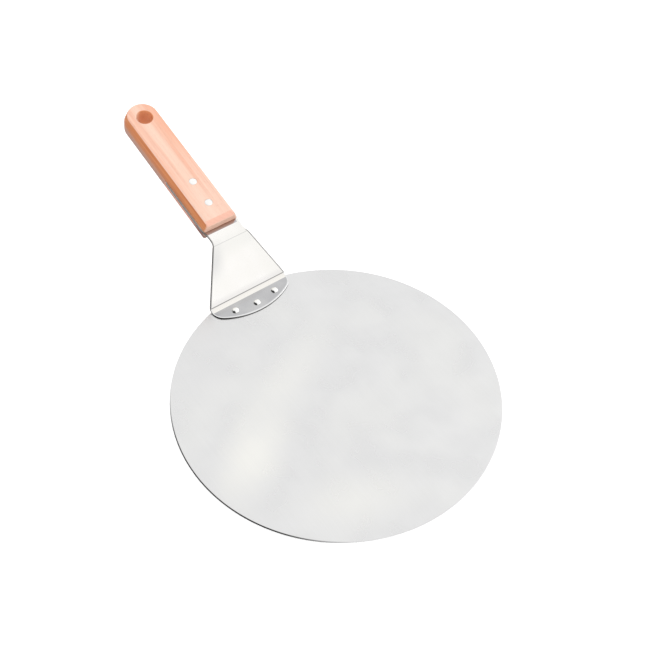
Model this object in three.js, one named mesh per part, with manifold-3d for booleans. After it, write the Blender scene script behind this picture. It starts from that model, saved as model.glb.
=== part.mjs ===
// A round pizza peel: a flat steel blade, a bent steel bracket riveted to it, and a wooden grip riveted
// round the bracket's tang. Millimetres. +Z is up, +Y runs from the blade's centre to the grip's butt,
// and the origin is the centre of the blade's underside.
//
// The bracket is one strip of sheet in three flat panels. The foot lies on the blade, the flare climbs
// steeply from it, and the tang runs back at a shallow tilt into a slot sawn in the grip.
import * as THREE from "three";
import { mergeVertices } from "three/addons/utils/BufferGeometryUtils.js";
import Module from "manifold-3d";

const wasm = await Module();
wasm.setup();

// ---- Blade
const bladeRadius = 127.5;
const bladeThickness = 1.0;

// ---- Bracket
const sheet = 1.2; // sheet thickness
const footFront = 25.8; // from the blade's rim in to the foot's front edge
const footLength = 19.75; // from the foot's front edge to the lower bend's corner line
const footHalfWidth = 36.4;
const footArcRadius = 60; // the foot's bowed front edge
const footCornerRadius = 11.3;
const flareLength = 49.9; // between the two bends' corner lines
const flareAngle = 60.7; // degrees above the blade
const lowerBendRadius = 4.2; // on the bracket's upper face, which is the inside of this bend
const upperBendRadius = 3.6; // on the bracket's upper face, which is the outside of this bend
const tangTilt = 11.3; // degrees above the blade
const neckHalfWidth = 15.3;
const neckAfterBend = 3.6; // from the upper bend's corner line to where the flare's side meets the neck's
const neckFilletRadius = 15; // which rounds that meeting
const shoulderStart = 11; // from the upper bend's corner line to where the neck widens to the tang
const shoulderLength = 7;
const tangHalfWidth = 16.8;
const tangLength = 74; // from the upper bend's corner line
const tangCornerRadius = 3;

// ---- Grip
const gripFront = 14.8; // from the upper bend's corner line
const gripLength = 137.4;
const tangProud = 1.2; // how far each edge of the tang stands out past the wood
const gripAbove = 8.5; // wood above the tang
const gripBelow = 8.6; // wood below the tang
const sideDraft = 1.9; // how far each side leans in by the bevel
const bevelDrop = 2.5; // bevel round the top face: its height, its width at the sides, and at the front
const bevelSide = 1.5;
const bevelFront = 4.1;
const bottomRadius = 2.6; // rounded edge round the underside
const gripCornerRadius = 1.5; // the two upright edges of the front end
const hangHoleRadius = 7;
const hangHoleFromButt = 18.2;

// ---- Rivets through the foot and the blade
const footRivetInset = 7.5; // the middle one, from the foot's front edge
const footRivetBow = 2.8; // how much further back the outer two sit
const footRivetSpacing = 19.2; // across, from the middle one to each outer one
const footRivetShank = 1.6; // radii
const footRivetHead = 3.0;
const footRivetHeadHeight = 1.9;
const footRivetHeadRim = 0.35; // height of the head's upright rim
const footRivetTail = 2.6; // the set tail fills a countersink in the underside
const countersinkDepth = 0.7;

// ---- Two-piece rivets through the grip and the tang
const gripRivetFromFront = [19.1, 42.9];
const gripRivetHead = 3.25; // radii
const gripRivetPin = 1.5;
const gripRivetSleeve = 2.2;
const gripRivetHeadThickness = 0.9;
const gripRivetDome = 0.25; // how far the head's middle stands proud of the wood
const sleeveTopGap = 1.0; // from the pin's head down to the sleeve's open end

// ---- Clearances
const seatGap = 0.05; // between faces that bear on each other
const holeClearance = 0.1; // radial, round a shank, and over and under the tang in its slot
const slotEndGap = 0.8;

// ---- Worked out from the above
const rad = THREE.MathUtils.degToRad;
const footTop = bladeThickness + seatGap + sheet;
const footFrontY = bladeRadius - footFront;
const lowerCorner = new THREE.Vector2(footFrontY + footLength, footTop); // (y, z) on the upper face
const upperCorner = new THREE.Vector2(
  lowerCorner.x + flareLength * Math.cos(rad(flareAngle)),
  lowerCorner.y + flareLength * Math.sin(rad(flareAngle)),
);
const gripHalfWidth = tangHalfWidth - tangProud; // at the tang
const gripButt = gripFront + gripLength;
const hangHoleAt = gripButt - hangHoleFromButt;
const gripBottom = -(sheet + gripBelow);

// ---- Materials
const bladeSteel = new THREE.MeshStandardMaterial({ color: 0xd9d9d8, roughness: 0.25, metalness: 1 });
const bracketSteel = new THREE.MeshStandardMaterial({ color: 0xdedddb, roughness: 0.2, metalness: 1 });
const rivetSteel = new THREE.MeshStandardMaterial({ color: 0xe6e6e6, roughness: 0.12, metalness: 1 });
const beech = new THREE.MeshStandardMaterial({ color: 0xe9a67c, roughness: 0.45, metalness: 0 });

// ---- Shape helpers

/** A closed geometry as a manifold-3d solid. */
function solid(geometry) {
  const bare = geometry.clone();
  bare.deleteAttribute("normal");
  bare.deleteAttribute("uv");
  const merged = mergeVertices(bare, 1e-4);
  const made = new wasm.Mesh({
    numProp: 3,
    vertProperties: merged.attributes.position.array,
    triVerts: new Uint32Array(merged.index.array),
  });
  return new wasm.Manifold(made);
}

/** A manifold-3d solid as a geometry. */
function geometryOf(made) {
  const mesh = made.getMesh();
  const geometry = new THREE.BufferGeometry();
  geometry.setAttribute("position", new THREE.BufferAttribute(mesh.vertProperties, 3));
  geometry.setIndex(new THREE.BufferAttribute(mesh.triVerts, 1));
  return geometry;
}

function named(name, made, material) {
  const mesh = new THREE.Mesh(geometryOf(made), material);
  mesh.name = name;
  return mesh;
}

/** A solid skinned over convex rings, which have as many points each, with a flat cap at both ends. */
function loft(rings) {
  const count = rings[0].length;
  const index = [];
  for (let ring = 0; ring + 1 < rings.length; ring++) {
    for (let point = 0; point < count; point++) {
      const here = ring * count + point;
      const beside = ring * count + ((point + 1) % count);
      index.push(here, beside, beside + count, here, beside + count, here + count);
    }
  }
  const last = (rings.length - 1) * count;
  for (let point = 1; point + 1 < count; point++) {
    index.push(0, point + 1, point, last, last + point, last + point + 1);
  }
  const geometry = new THREE.BufferGeometry();
  geometry.setAttribute("position", new THREE.Float32BufferAttribute(rings.flat(2), 3));
  geometry.setIndex(index);
  return solid(geometry);
}

/** A solid turned about the Z axis from [radius, z] points that start and end on the axis, rising. */
function turned(profile, segments = 32) {
  const points = profile.map(([radius, z]) => new THREE.Vector2(radius, z));
  return solid(new THREE.LatheGeometry(points, segments).rotateX(Math.PI / 2));
}

/** A plain round bar along Z, which cuts a hole. */
function bar(radius, low, high, segments = 32) {
  return turned([[0, low], [radius, low], [radius, high], [0, high]], segments);
}

function block(width, length, height, x, y, z) {
  return solid(new THREE.BoxGeometry(width, length, height).translate(x, y, z));
}

/** Points [across, along] on a circle's arc, from one angle to another, in degrees. */
function arc(across, along, radius, from, to, steps) {
  return Array.from({ length: steps + 1 }, (_, step) => {
    const angle = rad(from + ((to - from) * step) / steps);
    return [across + radius * Math.cos(angle), along + radius * Math.sin(angle)];
  });
}

// ---- Blade

const footRivets = [
  ["left", -footRivetSpacing, footRivetBow],
  ["middle", 0, 0],
  ["right", footRivetSpacing, footRivetBow],
].map(([side, x, back]) => ({ side, x, y: footFrontY + footRivetInset + back }));

/** A flat round plate with a rounded rim and a countersunk hole for each foot rivet. */
function makeBlade() {
  const edge = bladeThickness / 2;
  const rim = arc(bladeRadius - edge, edge, edge, -90, 90, 6);
  let blade = turned([[0, 0], ...rim, [0, bladeThickness]], 180);
  const hole = turned([
    [0, -1],
    [footRivetTail, -1],
    [footRivetTail, 0],
    [footRivetShank + holeClearance, countersinkDepth],
    [footRivetShank + holeClearance, bladeThickness + 1],
    [0, bladeThickness + 1],
  ]);
  for (const { x, y } of footRivets) blade = blade.subtract(hole.translate(x, y, 0));
  return blade;
}

// ---- Bracket

/**
 * The flat blank's outline as [half width, distance from the foot's front edge] points. Distance runs along
 * the upper face's three straight lines, corner line to corner line.
 */
function blankOutline() {
  const cornerAcross = footHalfWidth - footCornerRadius;
  const reach = footArcRadius - footCornerRadius;
  const cornerAlong = footArcRadius - Math.sqrt(reach ** 2 - cornerAcross ** 2);
  const meet = THREE.MathUtils.radToDeg(Math.atan2(cornerAlong - footArcRadius, cornerAcross));
  const front = arc(0, footArcRadius, footArcRadius, -88, meet, 14);
  const corner = arc(cornerAcross, cornerAlong, footCornerRadius, meet, 0, 8).slice(1);

  const taperStart = footLength + lowerBendRadius * Math.tan(rad(flareAngle / 2));
  const neckAt = footLength + flareLength + neckAfterBend;
  const taper = Math.atan2(footHalfWidth - neckHalfWidth, neckAt - taperStart);
  const tangent = neckFilletRadius * Math.tan(taper / 2);
  const taperDegrees = THREE.MathUtils.radToDeg(taper);
  const fillet = arc(neckHalfWidth + neckFilletRadius, neckAt + tangent, neckFilletRadius,
    180 + taperDegrees, 180, 8);
  const shoulderAt = footLength + flareLength + shoulderStart;
  const shoulder = [[neckHalfWidth, shoulderAt], [tangHalfWidth, shoulderAt + shoulderLength]];

  const tangEnd = footLength + flareLength + tangLength;
  const tail = arc(tangHalfWidth - tangCornerRadius, tangEnd - tangCornerRadius, tangCornerRadius, 0, 90, 6);
  return [...front, ...corner, [footHalfWidth, taperStart], ...fillet, ...shoulder, ...tail];
}

/** The half width of the blank at a distance, between two points of its outline. */
function halfWidthAt(outline, distance) {
  const after = outline.findIndex(([, along]) => along >= distance);
  if (after <= 0) return outline.at(after)[0];
  const [wideA, alongA] = outline[after - 1];
  const [wideB, alongB] = outline[after];
  return THREE.MathUtils.mapLinear(distance, alongA, alongB, wideA, wideB);
}

/** Where the upper face's line is at a distance: its y and z, and its angle in radians. */
function bentLine(distance) {
  const bends = [
    { corner: lowerCorner, at: footLength, from: 0, to: rad(flareAngle), radius: lowerBendRadius },
    { corner: upperCorner, at: footLength + flareLength, from: rad(flareAngle), to: rad(tangTilt),
      radius: upperBendRadius },
  ];
  for (const { corner, at, from, to, radius } of bends) {
    const turn = to - from;
    const tangent = radius * Math.tan(Math.abs(turn) / 2);
    if (Math.abs(distance - at) <= tangent) {
      const share = (distance - at + tangent) / (2 * tangent);
      const angle = from + turn * share;
      const side = Math.sign(turn) * radius;
      const startY = corner.x - tangent * Math.cos(from);
      const startZ = corner.y - tangent * Math.sin(from);
      return {
        y: startY + side * (Math.sin(angle) - Math.sin(from)),
        z: startZ - side * (Math.cos(angle) - Math.cos(from)),
        angle,
      };
    }
  }
  const [lower, upper] = bends;
  if (distance < lower.at) return { y: footFrontY + distance, z: footTop, angle: 0 };
  const bend = distance < upper.at ? lower : upper;
  const past = distance - bend.at;
  return {
    y: bend.corner.x + past * Math.cos(bend.to),
    z: bend.corner.y + past * Math.sin(bend.to),
    angle: bend.to,
  };
}

/** The distances at which the bracket gets a section: every outline point, and steps round each bend. */
function bracketStations(outline) {
  const steps = 6;
  const distances = outline.map(([, along]) => along);
  const bends = [
    [footLength, lowerBendRadius * Math.tan(rad(flareAngle / 2))],
    [footLength + flareLength, upperBendRadius * Math.tan(rad((flareAngle - tangTilt) / 2))],
  ];
  for (const [at, tangent] of bends) {
    for (let step = 0; step <= steps; step++) distances.push(at + tangent * ((2 * step) / steps - 1));
  }
  const sorted = distances.sort((a, b) => a - b);
  return sorted.filter((distance, n) => n === 0 || distance - sorted[n - 1] > 0.02);
}

/** The bent strip: a thin rectangle at each station, square to the upper face's line. */
function makeBracket() {
  const outline = blankOutline();
  const rings = bracketStations(outline).map((distance) => {
    const wide = halfWidthAt(outline, distance);
    const { y, z, angle } = bentLine(distance);
    const underY = y + sheet * Math.sin(angle);
    const underZ = z - sheet * Math.cos(angle);
    return [[-wide, underY, underZ], [wide, underY, underZ], [wide, y, z], [-wide, y, z]];
  });
  let bracket = loft(rings.reverse());
  for (const { x, y } of footRivets) {
    bracket = bracket.subtract(bar(footRivetShank + holeClearance, 0, footTop + 1).translate(x, y, 0));
  }
  for (const fromFront of gripRivetFromFront) {
    const hole = bar(gripRivetSleeve + holeClearance, -sheet - 1, 1).translate(0, gripFront + fromFront, 0);
    bracket = bracket.subtract(hole.rotate([tangTilt, 0, 0]).translate(0, upperCorner.x, upperCorner.y));
  }
  return bracket;
}

// ---- Grip, in the tang's frame: y along the tang from the upper corner line, z up from its upper face

/** How far the grip's outline is drawn in at each height: [z, at the sides and butt, at the front]. */
function gripLevels() {
  const bottom = arc(0, 0, bottomRadius, -90, 0, 8).map(([inward, up]) => {
    return [gripBottom + bottomRadius + up, bottomRadius - inward, bottomRadius - inward];
  });
  return [
    ...bottom,
    [0, 0, 0],
    [gripAbove - bevelDrop, sideDraft, 0],
    [gripAbove - bevelDrop * 0.35, sideDraft + bevelSide * 0.5, bevelFront * 0.55],
    [gripAbove, sideDraft + bevelSide, bevelFront],
  ];
}

/** The grip's outline seen from above at one height: square at the front and a half circle at the butt. */
function gripRing([z, sideInset, frontInset]) {
  const wide = gripHalfWidth - sideInset;
  const front = gripFront + frontInset;
  const butt = arc(0, gripButt - gripHalfWidth, wide, 0, 180, 32);
  const corner = gripCornerRadius;
  const left = arc(corner - wide, front + corner, corner, 180, 270, 4);
  const right = arc(wide - corner, front + corner, corner, 270, 360, 4);
  return [...butt, ...left, ...right].map(([across, along]) => [across, along, z]);
}

function makeGrip() {
  let grip = loft(gripLevels().map(gripRing));
  const slotEnd = tangLength + slotEndGap;
  const slotLow = -sheet - holeClearance;
  const slotLength = slotEnd - gripFront + 1;
  grip = grip.subtract(block(4 * gripHalfWidth, slotLength, holeClearance - slotLow,
    0, slotEnd - slotLength / 2, (slotLow + holeClearance) / 2));
  grip = grip.subtract(bar(hangHoleRadius, gripBottom - 1, gripAbove + 1, 48).translate(0, hangHoleAt, 0));
  const head = gripRivetHead + holeClearance;
  const seat = gripRivetHeadThickness + seatGap;
  for (const fromFront of gripRivetFromFront) {
    const hole = bar(gripRivetSleeve + holeClearance, gripBottom - 1, gripAbove + 1);
    const top = bar(head, gripAbove - seat, gripAbove + 1);
    const under = bar(head, gripBottom - 1, gripBottom + seat);
    for (const tool of [hole, top, under]) {
      grip = grip.subtract(tool.translate(0, gripFront + fromFront, 0));
    }
  }
  return grip;
}

// ---- Rivets

/** A domed solid rivet: its head bears on the foot and its tail fills the blade's countersink. */
function makeFootRivet() {
  const seat = footTop + seatGap;
  const rise = footRivetHeadHeight - footRivetHeadRim;
  const domeRadius = (footRivetHead ** 2 + rise ** 2) / (2 * rise);
  const start = THREE.MathUtils.radToDeg(Math.acos(footRivetHead / domeRadius));
  const dome = arc(0, seat + footRivetHeadHeight - domeRadius, domeRadius, start, 90, 7).slice(0, -1);
  return turned([
    [0, seatGap],
    [footRivetTail - holeClearance, seatGap],
    [footRivetShank, countersinkDepth],
    [footRivetShank, seat],
    [footRivetHead, seat],
    ...dome,
    [0, seat + footRivetHeadHeight],
  ]);
}

/** A head let into the wood, slightly domed, as [radius, z] points from its seat to its middle. */
function gripRivetHeadProfile() {
  const edge = gripRivetHeadThickness;
  return [
    [gripRivetHead, 0],
    [gripRivetHead, edge - 0.1],
    [gripRivetHead - 0.3, edge + gripRivetDome * 0.35],
    [gripRivetHead * 0.55, edge + gripRivetDome * 0.8],
    [0, edge + gripRivetDome],
  ];
}

/** The pin half: a head on top of the grip and a shank that goes down into the sleeve. */
function makeRivetPin() {
  const seat = gripAbove - gripRivetHeadThickness;
  const tip = gripBottom + gripRivetHeadThickness + seatGap;
  const head = gripRivetHeadProfile().map(([radius, z]) => [radius, seat + z]);
  return turned([[0, tip], [gripRivetPin, tip], [gripRivetPin, seat], ...head]);
}

/** The sleeve half: a head under the grip and a tube that goes up through the tang. */
function makeRivetSleeve() {
  const seat = gripBottom + gripRivetHeadThickness;
  const top = gripAbove - gripRivetHeadThickness - sleeveTopGap;
  const bore = gripRivetPin + holeClearance;
  const head = gripRivetHeadProfile().map(([radius, z]) => [radius, seat - z]).reverse();
  const tube = [[gripRivetSleeve, seat], [gripRivetSleeve, top], [bore, top], [bore, seat]];
  return turned([...head, ...tube, [0, seat]]);
}

// ---- Assembly

const peel = new THREE.Group();
peel.add(named("blade", makeBlade(), bladeSteel));
peel.add(named("bracket", makeBracket(), bracketSteel));
for (const { side, x, y } of footRivets) {
  const rivet = named("foot_rivet_" + side, makeFootRivet(), rivetSteel);
  rivet.position.set(x, y, 0);
  peel.add(rivet);
}

const tangFrame = new THREE.Group();
tangFrame.position.set(0, upperCorner.x, upperCorner.y);
tangFrame.rotation.x = rad(tangTilt);
tangFrame.add(named("grip", makeGrip(), beech));
gripRivetFromFront.forEach((fromFront, n) => {
  const where = n === 0 ? "front" : "rear";
  const pin = named("grip_rivet_pin_" + where, makeRivetPin(), rivetSteel);
  const sleeve = named("grip_rivet_sleeve_" + where, makeRivetSleeve(), rivetSteel);
  for (const half of [pin, sleeve]) {
    half.position.y = gripFront + fromFront;
    tangFrame.add(half);
  }
});
peel.add(tangFrame);

export default peel;
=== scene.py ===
"""A round pizza peel: a flat steel blade, a bent steel bracket riveted to it, and a wooden grip riveted
round the bracket's tang.

Shapes are worked out in millimetres, in the frame's axes, and put into meshes in metres. The grip and its
rivets are worked out in the tang's own frame: x across, y along the tang from the upper bend's corner
line, z up from the tang's upper face.
"""
import math

import bmesh
import bpy
import numpy as np
from mathutils import Matrix, Vector
from mathutils.geometry import delaunay_2d_cdt


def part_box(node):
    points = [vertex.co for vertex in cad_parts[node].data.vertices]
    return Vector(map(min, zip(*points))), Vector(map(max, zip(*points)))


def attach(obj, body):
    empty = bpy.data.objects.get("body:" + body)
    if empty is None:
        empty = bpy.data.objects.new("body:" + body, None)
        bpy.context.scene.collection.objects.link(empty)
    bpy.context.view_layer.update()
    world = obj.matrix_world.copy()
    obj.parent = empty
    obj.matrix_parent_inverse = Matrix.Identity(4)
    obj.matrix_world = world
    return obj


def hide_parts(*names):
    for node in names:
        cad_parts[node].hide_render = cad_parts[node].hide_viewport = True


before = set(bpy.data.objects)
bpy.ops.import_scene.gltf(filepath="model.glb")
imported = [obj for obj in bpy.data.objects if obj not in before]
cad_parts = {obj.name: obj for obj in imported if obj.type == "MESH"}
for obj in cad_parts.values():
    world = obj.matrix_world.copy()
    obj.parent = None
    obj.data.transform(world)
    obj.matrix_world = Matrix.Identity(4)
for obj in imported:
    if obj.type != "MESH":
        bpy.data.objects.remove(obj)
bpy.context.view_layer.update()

MM = 0.001


def box_mm(node):
    """Lowest and highest corner of a CAD node, in millimetres."""
    low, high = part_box(node)
    return np.array(low) / MM, np.array(high) / MM


# ---- Sizes that the frame gives
BLADE_RADIUS = box_mm("blade")[1][0]
BLADE_THICKNESS = box_mm("blade")[1][2]
FOOT_UNDERSIDE = box_mm("bracket")[0][2]
FOOT_HALF_WIDTH = box_mm("bracket")[1][0]
FOOT_FRONT_Y = box_mm("bracket")[0][1]
GRIP_HALF_WIDTH = box_mm("grip")[1][0]

# ---- Bracket: one strip of sheet, bent twice
SHEET = 1.2
SHEET_EDGE = 0.32  # radius of the sheet's tumbled edges
BORDER_WIDTH = 0.55  # of the border beside the edges, and again of its fading
BORDER_MARK = 0.45  # the border's mark, where the sheared edge's is 1
FOOT_LENGTH = 19.75  # from the foot's front edge to the lower bend's corner line
FOOT_ARC_RADIUS = 60.0
FOOT_CORNER_RADIUS = 11.3
FLARE_LENGTH = 49.9
FLARE_ANGLE = 60.7  # degrees above the blade
LOWER_BEND_RADIUS = 4.2
UPPER_BEND_RADIUS = 3.6
TANG_TILT = 11.3
NECK_HALF_WIDTH = 15.3
NECK_AFTER_BEND = 3.6
NECK_FILLET_RADIUS = 15.0
SHOULDER_START = 11.0
SHOULDER_LENGTH = 7.0
TANG_HALF_WIDTH = 16.8
TANG_LENGTH = 74.0
TANG_CORNER_RADIUS = 3.0

# ---- Painted reflections, highlights and shade on the sheets
PAINTED_DARK_SIDE = (-0.985, -0.174, 0.0)  # the side toward which the sheets' edges get a painted dark reflection of the flag
LEFT_BORDER_DARK = 0.7  # how dark the painted reflection is on the border beside the bracket's left edge, above the foot
RIGHT_BORDER_DARK = 0.5  # the same painted darkness beside the flare's right edge
WOOD_IMAGE = 3.7  # how far in front of the wood the tang carries a painted dim reflection of the wood, with painted shadow next to it
PAINTED_REFLECTION_SWEEPS = (  # painted reflections on the blade: centre, turn in degrees, half length and half width, and strength
    ((-84.0, -10.0), 33.0, (56.0, 30.0), 0.70),
    ((-22.0, 33.0), 25.0, (66.0, 26.0), 0.34),
    ((-45.0, -84.0), -20.0, (66.0, 30.0), 0.38),
)

# ---- Grip
GRIP_FRONT = 14.8
GRIP_LENGTH = 137.36  # a hair short of the solid grip, so that the rounder butt stays in its box
GRIP_ABOVE = 8.5
GRIP_BOTTOM = -9.8
SIDE_DRAFT = 1.9
BEVEL_DROP = 2.5
BEVEL_SIDE = 1.5
BEVEL_FRONT = 4.1
BOTTOM_RADIUS = 2.6
GRIP_CORNER_RADIUS = 1.5
SLOT_LOW = -1.3
SLOT_HIGH = 0.1
SLOT_END = 74.8
HANG_HOLE_RADIUS = 7.0
HANG_HOLE_AT = 134.0
HANG_HOLE_EDGE = 0.5
GRIP_RIVETS_AT = {"front": 33.9, "rear": 57.7}

# ---- Rivets
FOOT_RIVET_HEAD = 3.0
FOOT_RIVET_SHANK = 1.6
FOOT_RIVET_TAIL = 2.6
COUNTERSINK_DEPTH = 0.7
GRIP_RIVET_HEAD = 3.25
GRIP_RIVET_PIN = 1.5
GRIP_RIVET_SLEEVE = 2.2
HEAD_THICKNESS = 0.9
HEAD_DOME = 0.25
SLEEVE_TOP_GAP = 1.0
HOLE_CLEARANCE = 0.1
SEAT_GAP = 0.05

# ---- Camera
CAMERA_TARGET = (32.7, 61.1, 0.0)
CAMERA_DISTANCE = 869.7
CAMERA_AZIMUTH = -38.72
CAMERA_ELEVATION = 50.77
CAMERA_ROLL = 3.17
CAMERA_LENS = 59.73  # on a 36 mm sensor

# ---- Worked out from the sizes
FOOT_TOP = FOOT_UNDERSIDE + SHEET
LOWER_CORNER = np.array([FOOT_FRONT_Y + FOOT_LENGTH, FOOT_TOP])
FLARE_DIRECTION = np.array([math.cos(math.radians(FLARE_ANGLE)), math.sin(math.radians(FLARE_ANGLE))])
UPPER_CORNER = LOWER_CORNER + FLARE_LENGTH * FLARE_DIRECTION
LOWER_BEND_REACH = LOWER_BEND_RADIUS * math.tan(math.radians(FLARE_ANGLE / 2))
UPPER_BEND_REACH = UPPER_BEND_RADIUS * math.tan(math.radians((FLARE_ANGLE - TANG_TILT) / 2))
BLANK_LENGTH = FOOT_LENGTH + FLARE_LENGTH + TANG_LENGTH


# ---- Surfaces

def arc(centre_a, centre_b, radius, start, end, steps):
    """Points centre + radius (cos t, sin t), with t running from start to end in degrees."""
    t = np.radians(np.linspace(start, end, steps + 1))
    return np.column_stack([centre_a + radius * np.cos(t), centre_b + radius * np.sin(t)])


def softened(corners, cut, steps=5):
    """A line through corners, each inner one rounded by (1-t)^2 a + 2t(1-t) p + t^2 b, where p is the
    corner and a and b lie at the distance cut from it along its two sides."""
    corners = np.asarray(corners, float)
    t = np.linspace(0, 1, steps + 1)[:, None]
    line = [corners[:1]]
    for before, here, after in zip(corners[:-2], corners[1:-1], corners[2:]):
        a = here + (before - here) * min(0.45, cut / np.linalg.norm(before - here))
        b = here + (after - here) * min(0.45, cut / np.linalg.norm(after - here))
        line.append((1 - t) ** 2 * a + 2 * t * (1 - t) * here + t ** 2 * b)
    return np.vstack(line + [corners[-1:]])


def spaced(line, step):
    """The same line with points about a step apart: linear interpolation over its length."""
    length = np.concatenate([[0], np.cumsum(np.linalg.norm(np.diff(line, axis=0), axis=1))])
    wanted = np.linspace(0, length[-1], int(length[-1] / step) + 1)
    return np.column_stack([np.interp(wanted, length, column) for column in line.T])


def turned(profile, segments):
    """Rings (r cos a, r sin a, z) of a profile of (r, z) points, one row per point, a from 0 to 360."""
    a = np.linspace(0, 2 * math.pi, segments, endpoint=False)
    r, z = np.asarray(profile, float).T[:, :, None]
    return np.stack([r * np.cos(a), r * np.sin(a), z + 0 * a], axis=-1)


def circle(x, y, radius, segments):
    """A closed loop of (x, y) points that matches a turned ring's."""
    return arc(x, y, radius, 0, 360, segments)[:-1]


class Shell:
    """Sheets of points and faces that are welded into one closed mesh."""

    def __init__(self):
        self.points = []
        self.marks = []
        self.faces = []
        self.count = 0

    def add(self, points, faces, mark=0.0):
        """Adds points (n, 3) and faces of their indices. A mark is one value or vector kept per point."""
        points = np.asarray(points, float).reshape(-1, 3)
        self.points.append(points)
        self.marks.append(np.broadcast_to(np.asarray(mark, float), (len(points), 3)))
        self.faces.extend((np.asarray(faces) + self.count).tolist())
        self.count += len(points)

    def sheet(self, points, closed=False, mark=0.0):
        """A grid of points (rows, columns, 3) as quads. Closed joins each row's end to its start."""
        rows, columns = points.shape[:2]
        index = np.arange(rows * columns).reshape(rows, columns)
        if closed:
            index = np.column_stack([index, index[:, 0]])
        quads = [index[:-1, :-1], index[:-1, 1:], index[1:, 1:], index[1:, :-1]]
        self.add(points, np.stack(quads, axis=-1).reshape(-1, 4), mark)

    def flat(self, loops, z, mark=0.0):
        """Triangles at height z that fill the first closed loop of (x, y) points, less the round holes that
        the other loops go round: a triangle whose middle is inside a hole's radius is dropped."""
        edges = []
        start = 0
        for loop in loops:
            here = np.arange(len(loop))
            edges.append(np.column_stack([start + here, start + (here + 1) % len(loop)]))
            start += len(loop)
        points = [Vector(point) for point in np.concatenate(loops)]
        filled = delaunay_2d_cdt(points, np.concatenate(edges).tolist(), [], 1, 1e-5)
        points = np.array([tuple(point) for point in filled[0]])
        faces = np.array(filled[2])
        middles = points[faces].mean(axis=1)
        for hole in loops[1:]:
            centre = hole.mean(axis=0)
            kept = np.linalg.norm(middles - centre, axis=1) > np.linalg.norm(hole[0] - centre)
            faces = faces[kept]
            middles = middles[kept]
        self.add(np.column_stack([points, np.full(len(points), z)]), faces, mark)

    def piece(self, name, nodes, material, place=None):
        """Welds the sheets, moves them to their place and makes the object that stands for CAD nodes."""
        mesh = bpy.data.meshes.new(name)
        mesh.from_pydata(np.concatenate(self.points), [], self.faces)
        kept = mesh.attributes.new("mark", "FLOAT_VECTOR", "POINT")
        kept.data.foreach_set("vector", np.concatenate(self.marks).ravel())
        tidy = bmesh.new()
        tidy.from_mesh(mesh)
        bmesh.ops.remove_doubles(tidy, verts=tidy.verts, dist=0.002)
        bmesh.ops.recalc_face_normals(tidy, faces=tidy.faces)
        tidy.to_mesh(mesh)
        tidy.free()
        mesh.transform(Matrix.Scale(MM, 4) @ (place or Matrix.Identity(4)))
        mesh.shade_smooth()
        mesh.set_sharp_from_angle(angle=math.radians(32))
        mesh.materials.append(material)
        made = bpy.data.objects.new(name, mesh)
        bpy.context.scene.collection.objects.link(made)
        weighted = made.modifiers.new("flat_faces_stay_flat", "WEIGHTED_NORMAL")
        weighted.keep_sharp = True
        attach(made, "root")
        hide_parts(*nodes)
        return made


def tang_place():
    """From the tang's frame to the object's: a tilt about x, then a move to the upper corner line."""
    move = Matrix.Translation((0, UPPER_CORNER[0], UPPER_CORNER[1]))
    return move @ Matrix.Rotation(math.radians(TANG_TILT), 4, "X")


# ---- Node helpers

def feed(tree, socket, value):
    """Links another node's output to a socket, or sets the socket's own value."""
    if isinstance(value, bpy.types.NodeSocket):
        tree.links.new(value, socket)
    else:
        socket.default_value = value


def put(tree, kind, sockets=None, **settings):
    """A node with its settings and inputs. An input is a value, or another node's output to link."""
    node = tree.nodes.new(kind)
    for name, value in settings.items():
        setattr(node, name, value)
    for name, value in (sockets or {}).items():
        feed(tree, node.inputs[name], value)
    return node


def srgb(red, green, blue):
    """A screen colour of 0 to 255 as the linear colour that nodes take."""
    values = np.array([red, green, blue]) / 255
    linear = np.where(values <= 0.04045, values / 12.92, ((values + 0.055) / 1.055) ** 2.4)
    return (*linear.tolist(), 1.0)


def maths(tree, operation, a, b=0.0, clamp=False):
    """One step of arithmetic."""
    return put(tree, "ShaderNodeMath", {0: a, 1: b}, operation=operation, use_clamp=clamp).outputs[0]


def blended(tree, share, a, b, blend="MIX"):
    """Colour a where share is 0 and b where it is 1."""
    mix = put(tree, "ShaderNodeMix", data_type="RGBA", blend_type=blend)
    for index, value in ((0, share), (6, a), (7, b)):
        feed(tree, mix.inputs[index], value)
    return mix.outputs[2]


def ranged(tree, value, low, high, to_low=0.0, to_high=1.0):
    """A value's range low to high, smoothly turned into another range."""
    sockets = {"Value": value, "From Min": low, "From Max": high, "To Min": to_low, "To Max": to_high}
    return put(tree, "ShaderNodeMapRange", sockets, interpolation_type="SMOOTHSTEP").outputs["Result"]


def pulse(tree, value, middle, half_width):
    """1 at the middle, falling smoothly to 0 at half a width to either side."""
    away = maths(tree, "ABSOLUTE", maths(tree, "SUBTRACT", value, middle))
    return ranged(tree, away, half_width, 0.0)


def new_group(name, inputs, outputs):
    """An empty shader node group with named inputs {name: (type, default)} and outputs {name: type}."""
    group = bpy.data.node_groups.new(name, "ShaderNodeTree")
    for socket, (kind, default) in inputs.items():
        made = group.interface.new_socket(socket, in_out="INPUT", socket_type=kind)
        if default is not None:
            made.default_value = default
    for socket, kind in outputs.items():
        group.interface.new_socket(socket, in_out="OUTPUT", socket_type=kind)
    return group, group.nodes.new("NodeGroupInput").outputs, group.nodes.new("NodeGroupOutput").inputs


def use_group(tree, group, sockets):
    """A group placed in a material with its own values."""
    node = tree.nodes.new("ShaderNodeGroup")
    node.node_tree = group
    for name, value in sockets.items():
        feed(tree, node.inputs[name], value)
    return node.outputs


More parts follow.
